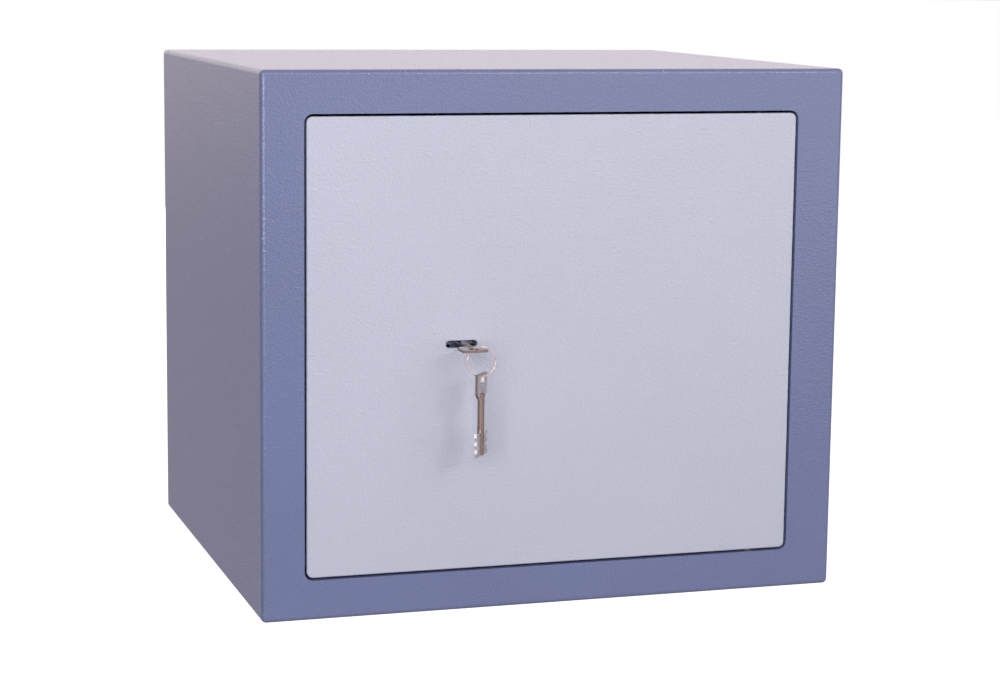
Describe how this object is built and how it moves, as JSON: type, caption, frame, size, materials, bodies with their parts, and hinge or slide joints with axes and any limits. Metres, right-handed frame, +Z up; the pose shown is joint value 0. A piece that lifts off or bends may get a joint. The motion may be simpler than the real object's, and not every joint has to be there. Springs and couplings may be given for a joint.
{
  "type": "safe",
  "caption": "Small floor or cupboard safe: rectangular steel box with a flush side-hung door, a horizontal keyhole with a key in it, and a spare key on a wire ring.",
  "frame": {"origin": "centre of the base, on the plane the safe stands on", "axes": "+X to the right as seen from the front, +Y to the back, +Z up; the door faces -Y"},
  "size_m": [0.5, 0.4843, 0.445],
  "materials": {
    "body_coat": "fine-textured blue-grey powder coat",
    "door_coat": "fine-textured pale lavender-grey powder coat",
    "steel": "bare or zinc-passivated steel, machined or sheared",
    "nickel": "nickel plate, lightly worn",
    "copper": "bright copper-coloured wire",
    "bronze": "bearing bronze or stamped brass",
    "nylon": "moulded off-white nylon",
    "rubber": "black moulded rubber"
  },
  "bodies": {
    "body": {"body_wrap": "body_coat", "jamb_frame": "body_coat", "back_panel": "body_coat", "shelf": "body_coat", "shelf_rail_left": "body_coat", "shelf_rail_right": "body_coat", "base_plug_1": "rubber", "base_plug_2": "rubber", "base_plug_3": "rubber", "base_plug_4": "rubber", "back_plug_1": "rubber", "back_plug_2": "rubber", "door_stop_upper": "rubber", "door_stop_lower": "rubber", "hinge_bracket_upper": "steel", "hinge_bracket_lower": "steel", "hinge_bush_upper": "bronze", "hinge_bush_lower": "bronze"},
    "door": {"door_plate": "door_coat", "hard_plate": "steel", "door_pan": "body_coat", "inner_cover": "body_coat", "cover_screw_1": "nickel", "cover_screw_2": "nickel", "cover_screw_3": "nickel", "cover_screw_4": "nickel", "cover_screw_5": "nickel", "cover_screw_6": "nickel", "dead_bar": "steel", "thrust_washer": "bronze", "hinge_block_upper": "steel", "hinge_block_lower": "steel", "hinge_pin_upper": "nickel", "hinge_pin_lower": "nickel", "lock_case": "steel", "lock_cap": "steel", "cap_screw_1": "nickel", "cap_screw_2": "nickel", "lever_post": "nickel", "pinion_bridge": "steel", "guide_post_1": "nickel", "guide_post_2": "nickel", "rod_guide_upper": "nylon", "rod_guide_lower": "nylon"},
    "key_drum": {"key_drum": "steel"},
    "key": {"key": "nickel"},
    "key_ring": {"key_ring": "copper"},
    "spare_key": {"spare_key": "nickel"},
    "bolt_bar": {"bolt_bar": "steel", "side_bolt_1": "nickel", "side_bolt_2": "nickel", "side_bolt_3": "nickel"},
    "top_rod": {"top_rod": "steel", "top_bolt": "nickel"},
    "bottom_rod": {"bottom_rod": "steel", "bottom_bolt": "nickel"},
    "lever_1": {"lever_1": "bronze"},
    "lever_2": {"lever_2": "bronze"},
    "lever_3": {"lever_3": "bronze"},
    "lever_4": {"lever_4": "bronze"}
  },
  "joints": [
    {"name": "door_hinge", "type": "hinge", "parent": "body", "child": "door", "pos_m": [0.1772, -0.2095, 0.2217], "axis": [0, 0, 1], "range_deg": [0, 110]},
    {"name": "key_turn", "type": "hinge", "parent": "door", "child": "key_drum", "pos_m": [-0.084, -0.2121, 0.2227], "axis": [0, 1, 0], "range_deg": [0, 180]},
    {"name": "key_slide", "type": "slide", "parent": "key_drum", "child": "key", "axis": [0, -1, 0], "range_m": [0, 0.03]},
    {"name": "ring_hang", "type": "hinge", "parent": "key", "child": "key_ring", "pos_m": [-0.084, -0.2542, 0.2227], "axis": [0, 1, 0], "range_deg": [-113, 0]},
    {"name": "spare_hang", "type": "hinge", "parent": "key_ring", "child": "spare_key", "pos_m": [-0.07768, -0.2542, 0.21333], "axis": [0, 1, 0], "range_deg": [-69, 0]},
    {"name": "bolt_throw", "type": "slide", "parent": "door", "child": "bolt_bar", "axis": [-1, 0, 0], "range_m": [0, 0.02199]},
    {"name": "top_throw", "type": "slide", "parent": "door", "child": "top_rod", "axis": [0, 0, 1], "range_m": [0, 0.0221]},
    {"name": "bottom_throw", "type": "slide", "parent": "door", "child": "bottom_rod", "axis": [0, 0, -1], "range_m": [0, 0.0221]},
    {"name": "lever_1_lift", "type": "hinge", "parent": "door", "child": "lever_1", "pos_m": [-0.107, -0.207, 0.2227], "axis": [0, -1, 0], "range_deg": [0, 2], "stiffness_Nm_per_rad": 0.05, "springref_deg": -5.73},
    {"name": "lever_2_lift", "type": "hinge", "parent": "door", "child": "lever_2", "pos_m": [-0.107, -0.2036, 0.2227], "axis": [0, -1, 0], "range_deg": [0, 2], "stiffness_Nm_per_rad": 0.05, "springref_deg": -5.73},
    {"name": "lever_3_lift", "type": "hinge", "parent": "door", "child": "lever_3", "pos_m": [-0.107, -0.2002, 0.2227], "axis": [0, -1, 0], "range_deg": [0, 2], "stiffness_Nm_per_rad": 0.05, "springref_deg": -5.73},
    {"name": "lever_4_lift", "type": "hinge", "parent": "door", "child": "lever_4", "pos_m": [-0.107, -0.1968, 0.2227], "axis": [0, -1, 0], "range_deg": [0, 2], "stiffness_Nm_per_rad": 0.05, "springref_deg": -5.73}
  ],
  "couplings": [
    {"joint": "key_turn", "follows": "bolt_throw", "rad_per_m": 142.86},
    {"joint": "top_throw", "follows": "bolt_throw", "ratio": 1},
    {"joint": "bottom_throw", "follows": "bolt_throw", "ratio": 1},
    {"joint": "ring_hang", "follows": "bolt_throw", "rad_per_m": -88.889},
    {"joint": "spare_hang", "follows": "bolt_throw", "rad_per_m": -53.968}
  ]
}
